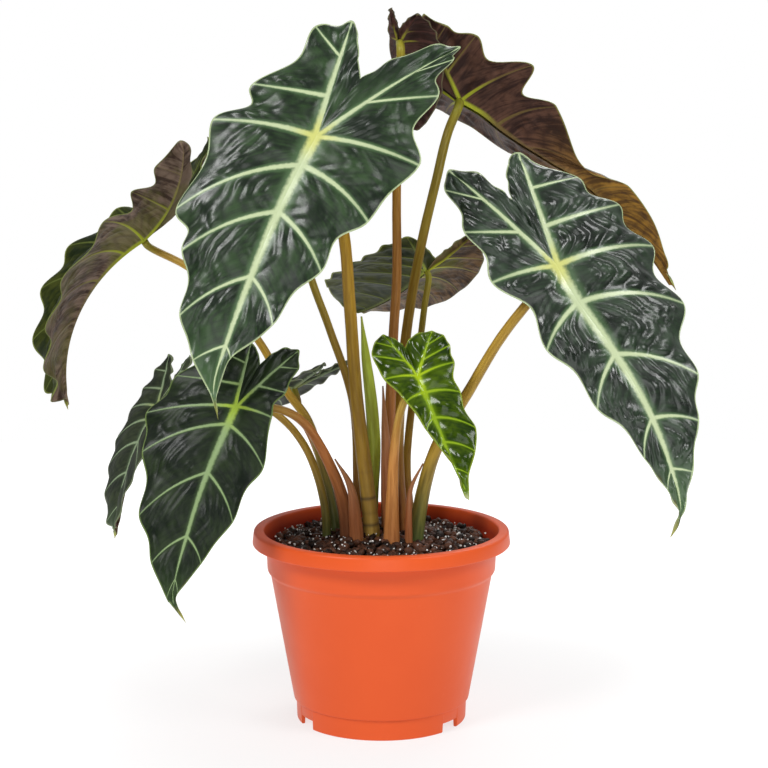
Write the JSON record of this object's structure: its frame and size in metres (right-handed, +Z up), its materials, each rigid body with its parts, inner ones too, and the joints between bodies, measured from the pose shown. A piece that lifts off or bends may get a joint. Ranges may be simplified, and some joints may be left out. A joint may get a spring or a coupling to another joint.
{
  "type": "potted alocasia",
  "caption": "Potted alocasia: arrow-shaped leaves with pale raised veins on separate petioles, rising from a rhizome in the soil of a tapered plastic pot with a rolled lip.",
  "frame": {"origin": "middle of the pot's underside, on the pad under the floor", "axes": "+Z up along the pot's axis; the plant's front, as pictured, faces -Y; +X is to the right seen from the front"},
  "size_m": [0.4453, 0.3054, 0.4646],
  "materials": {
    "pot": "satin terracotta-orange moulded plastic",
    "soil": "damp bark and peat with white perlite",
    "rhizome": "fibrous brown rhizome",
    "blade": "dark blue-green upper face with pale veins, maroon underside",
    "young_blade": "glossy bright green",
    "petiole": "smooth golden olive, red-brown at the foot",
    "sheath": "dry papery red-brown"
  },
  "bodies": {
    "root": {"pot": "pot", "soil": "soil", "rhizome": "rhizome", "front_leaf_blade": "blade", "front_leaf_petiole": "petiole", "right_leaf_blade": "blade", "right_leaf_petiole": "petiole", "high_right_leaf_blade": "blade", "high_right_leaf_petiole": "petiole", "left_leaf_blade": "blade", "left_leaf_petiole": "petiole", "middle_back_leaf_blade": "blade", "middle_back_leaf_petiole": "petiole", "low_front_leaf_blade": "blade", "low_front_leaf_petiole": "petiole", "low_left_leaf_blade": "blade", "low_left_leaf_petiole": "petiole", "low_back_leaf_blade": "blade", "low_back_leaf_petiole": "petiole", "young_leaf_blade": "young_blade", "young_leaf_petiole": "petiole", "crown_leaf_blade": "blade", "crown_leaf_petiole": "petiole", "upper_back_leaf_blade": "blade", "upper_back_leaf_petiole": "petiole", "new_leaf_spear": "young_blade", "left_sheath": "sheath", "middle_sheath": "sheath", "right_sheath": "sheath"}
  },
  "joints": []
}
